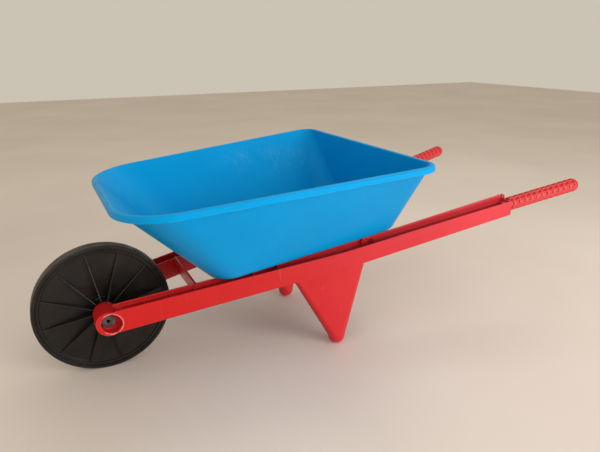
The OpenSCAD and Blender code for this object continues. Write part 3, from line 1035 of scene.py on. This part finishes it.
def grip_ridges(g):
    """1 on the grips' full radius and 0 on the floors of their dimples, off the arms too."""
    start = place(in_grip(1)(0, 0, 0))
    along = (place(in_grip(1)(0, 0, 1)) - start).normalized()
    x, y, z = g.axes()
    mirrored = g.add("ShaderNodeCombineXYZ")
    for socket, value in zip(mirrored.inputs, (x, g.maths("ABSOLUTE", y), z)):
        g.put(socket, value)
    shifted_to = g.add("ShaderNodeVectorMath", operation="SUBTRACT")
    g.put(shifted_to.inputs[0], mirrored.outputs["Vector"])
    shifted_to.inputs[1].default_value = start
    crossed = g.add("ShaderNodeVectorMath", operation="CROSS_PRODUCT")
    g.put(crossed.inputs[0], shifted_to.outputs["Vector"])
    crossed.inputs[1].default_value = along
    length = g.add("ShaderNodeVectorMath", operation="LENGTH")
    g.put(length.inputs[0], crossed.outputs["Vector"])
    onto = g.span(length.outputs["Value"], (GRIP_R - 0.6) * MM, (GRIP_R - 0.05) * MM)
    off = g.span(length.outputs["Value"], (GRIP_R + 0.6) * MM, (GRIP_R + 0.1) * MM)
    behind = g.span(x, start.x + 0.002, start.x + 0.004)
    return g.maths("MULTIPLY", onto, g.maths("MULTIPLY", off, behind))


def red_plastic(name, front, back):
    """Red plastic that goes from one colour at the wheel to another at the grips."""
    g = Graph(name)
    # painted lighting gradient: the red lightens from the wheel towards the grips, as the light on
    # the arms does
    colour = g.mix(g.span(g.axes()[0], -0.25, 0.3), front, back)
    slow = g.span(g.noise(9, 3), 0.3, 0.7)
    darker = g.mix(0.12, colour, (0.3, 0.004, 0.004, 1))
    colour = g.mix(slow, darker, colour)
    marks = g.maths("MAXIMUM", scratches(g, 240, (0, 5, 8)), scratches(g, 300, (0, 80, 30)))
    marks = g.maths("MULTIPLY", marks, g.span(g.noise(12, 2), 0.45, 0.62))
    colour = g.mix(g.maths("MULTIPLY", marks, 0.06), colour, (0.85, 0.22, 0.2, 1))
    # lighter edges: partly wear, partly painted highlights where the edges catch the light
    highlight_and_wear = g.maths("MULTIPLY", g.edges(0.0009), g.span(g.noise(70, 3), 0.3, 0.6))
    highlight_and_wear = g.maths("MAXIMUM", g.maths("MULTIPLY", highlight_and_wear, 0.45), recess_wear(g))
    # lighter ridges on the grips: painted shade on the dimple floors
    highlight_and_wear = g.maths("MAXIMUM", highlight_and_wear, g.maths("MULTIPLY", grip_ridges(g), 0.16))
    colour = g.mix(highlight_and_wear, colour, (0.86, 0.22, 0.2, 1))
    rough = g.span(g.noise(40, 4), 0.3, 0.7, 0.3, 0.42)
    return g.finish(colour, rough, moulded(g))


def black_plastic():
    """The wheel's plastic, brownish on its tread: partly dust, partly a painted reflection."""
    g = Graph("black_wheel_plastic")
    slow = g.span(g.noise(16, 4), 0.3, 0.7)
    colour = g.mix(slow, (0.005, 0.0038, 0.003, 1), (0.010, 0.008, 0.007, 1))
    radius = g.from_line(AXLE.x, AXLE.z)
    tread = g.span(radius, (WHEEL_R - 1.6) * MM, (WHEEL_R - 0.4) * MM)
    # brownish tread: partly dust, partly a painted reflection
    dust_and_reflection = g.maths("MULTIPLY", tread, g.span(g.noise(90, 5, rough=0.7), 0.3, 0.65))
    colour = g.mix(g.maths("MULTIPLY", dust_and_reflection, 0.5), colour, (0.075, 0.055, 0.038, 1))
    film = g.span(g.noise(28, 5, rough=0.6), 0.45, 0.75)
    colour = g.mix(g.maths("MULTIPLY", film, 0.08), colour, (0.09, 0.075, 0.065, 1))
    # painted highlight: lighter sharp edges, such as the bright crescent on the rim's inner lip
    highlight_and_wear = g.maths("MULTIPLY", g.edges(0.0006), g.span(g.noise(80, 3), 0.35, 0.6))
    colour = g.mix(g.maths("MULTIPLY", highlight_and_wear, 0.35), colour, (0.12, 0.115, 0.11, 1))
    rough = g.span(g.noise(45, 4), 0.3, 0.7, 0.26, 0.38)
    rough = g.maths("ADD", rough, g.maths("MULTIPLY", dust_and_reflection, 0.15))
    return g.finish(colour, rough, moulded(g, 0.2), 0.3)


def dark_axle():
    g = Graph("dull_axle_plastic")
    slow = g.span(g.noise(120, 4), 0.3, 0.7)
    colour = g.mix(slow, (0.035, 0.026, 0.024, 1), (0.12, 0.095, 0.09, 1))
    # lighter edges: partly wear, partly painted highlight
    highlight_and_wear = g.edges(0.0006)
    colour = g.mix(g.maths("MULTIPLY", highlight_and_wear, 0.4), colour, (0.3, 0.26, 0.25, 1))
    rough = g.span(g.noise(200, 3), 0.3, 0.7, 0.38, 0.6)
    return g.finish(colour, rough, moulded(g, 0.3))


def zinc_steel():
    g = Graph("zinc_plated_steel")
    g.shader.inputs["Metallic"].default_value = 1.0
    slow = g.span(g.noise(300, 4), 0.3, 0.7)
    colour = g.mix(slow, (0.45, 0.45, 0.46, 1), (0.62, 0.61, 0.58, 1))
    rough = g.span(g.noise(500, 3), 0.3, 0.7, 0.28, 0.45)
    brushed = g.bump(g.noise(2500, 2, g.stretched((1, 0.1, 1))), 0.2, 0.00005)
    return g.finish(colour, rough, brushed)


# ---------- stage ----------

def floor_material():
    g = Graph("pale_floor")
    slow = g.span(g.noise(2.2, 3), 0.3, 0.7)
    colour = g.mix(slow, (0.695, 0.615, 0.556, 1), (0.74, 0.66, 0.6, 1))
    return g.finish(colour, 0.85, g.bump(g.noise(300, 2), 0.05, 0.0003))


def make_floor():
    """A plain pale floor, flat on the ground."""
    mesh = bpy.data.meshes.new("floor")
    sides = ((-1, -1), (1, -1), (1, 1), (-1, 1))
    corners = [(x * FLOOR_HALF, y * FLOOR_HALF, 0) for x, y in sides]
    mesh.from_pydata(corners, [], [(0, 1, 2, 3)])
    floor = bpy.data.objects.new("floor", mesh)
    bpy.context.scene.collection.objects.link(floor)
    floor.data.materials.append(floor_material())


def make_world():
    """An even, slightly warm surround."""
    world = bpy.data.worlds.new("studio")
    world.use_nodes = True
    background = world.node_tree.nodes["Background"]
    background.inputs["Color"].default_value = (0.60, 0.545, 0.455, 1)
    background.inputs["Strength"].default_value = 1.0
    bpy.context.scene.world = world
    # saturated toy colours need the plain sRGB curve
    bpy.context.scene.view_settings.view_transform = "Standard"


def area_light(name, position, target, size, power, colour=(1, 1, 1)):
    """A soft round light that faces its target."""
    data = bpy.data.lights.new(name, "AREA")
    data.shape = "DISK"
    data.size = size
    data.energy = power
    data.color = colour
    light = bpy.data.objects.new(name, data)
    bpy.context.scene.collection.objects.link(light)
    light.location = position
    aim = Vector(target) - Vector(position)
    light.rotation_euler = aim.to_track_quat("-Z", "Y").to_euler()


def make_lights():
    middle = (0.0, 0.0, 0.12)
    area_light("window", (0.8, -1.6, 0.45), middle, 1.3, 27, (1, 0.985, 0.97))
    area_light("overhead", (0.6, 0.3, 1.7), middle, 0.9, 5)
    area_light("fill", (-0.6, -1.6, 0.4), middle, 1.2, 4, (0.98, 0.99, 1))
    area_light("front", (-1.1, -0.7, 1.2), middle, 1.2, 3)


def make_camera():
    """The photograph's viewpoint."""
    data = bpy.data.cameras.new("camera")
    data.sensor_width = CAMERA_SENSOR
    data.lens = CAMERA_LENS
    camera = bpy.data.objects.new("camera", data)
    bpy.context.scene.collection.objects.link(camera)
    azimuth, elevation, roll = (math.radians(a) for a in CAMERA_ANGLES)
    turn = Matrix.Rotation(azimuth, 4, "Z")
    tip = Matrix.Rotation(math.pi / 2 - elevation, 4, "X")
    lean = Matrix.Rotation(roll, 4, "Z")
    camera.matrix_world = Matrix.Translation(CAMERA_AT) @ turn @ tip @ lean
    bpy.context.scene.camera = camera


# ---------- the whole object ----------

def dress(piece, material, body, slot, *nodes):
    """Gives a piece its material, hangs it on the body it rides on, and hides the frame's parts it
    replaces.
    """
    piece.data.materials.clear()
    piece.data.materials.append(material)
    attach(piece, body)
    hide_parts(*nodes)


def make_all():
    """Every piece of the wheelbarrow; the screws are the frame's own."""
    red = red_plastic("red_polypropylene", (0.53, 0.010, 0.011, 1), (0.60, 0.036, 0.050, 1))
    grip_red = red_plastic("red_grip_plastic", (0.47, 0.008, 0.012, 1), (0.50, 0.009, 0.014, 1))
    bar_red = red_plastic("red_crossbar_plastic", (0.56, 0.008, 0.008, 1), (0.6, 0.01, 0.01, 1))
    black = black_plastic()
    dull = dark_axle()
    dress(make_tray(), blue_plastic(), "frame", "tray", "tray")
    for side, word in ((-1, "left"), (1, "right")):
        dress(make_arm(side, word + "_channel_arm"), red, "frame", "arms", word + "_arm")
        dress(make_grip(side, word + "_dimpled_grip"), grip_red, "frame", "grips", word + "_grip")
        wheel = make_wheel_half(side, word + "_wheel_shell")
        dress(wheel, black, "wheel", "wheel", "wheel_" + word + "_half")
    for word, x, post_y in BARS:
        bar = make_crossbar(word + "_cross_plate", x, post_y)
        dress(bar, bar_red, "frame", "crossbars", word + "_crossbar")
    dress(make_axle(), dull, "frame", "axle", "axle")
    dress(make_cap(), dull, "frame", "axle", "axle_cap")
    screws = frame["nodes"]["tray_screws"]
    screws.data.materials.clear()
    screws.data.materials.append(zinc_steel())


make_camera()
make_world()
make_lights()
make_floor()
make_all()
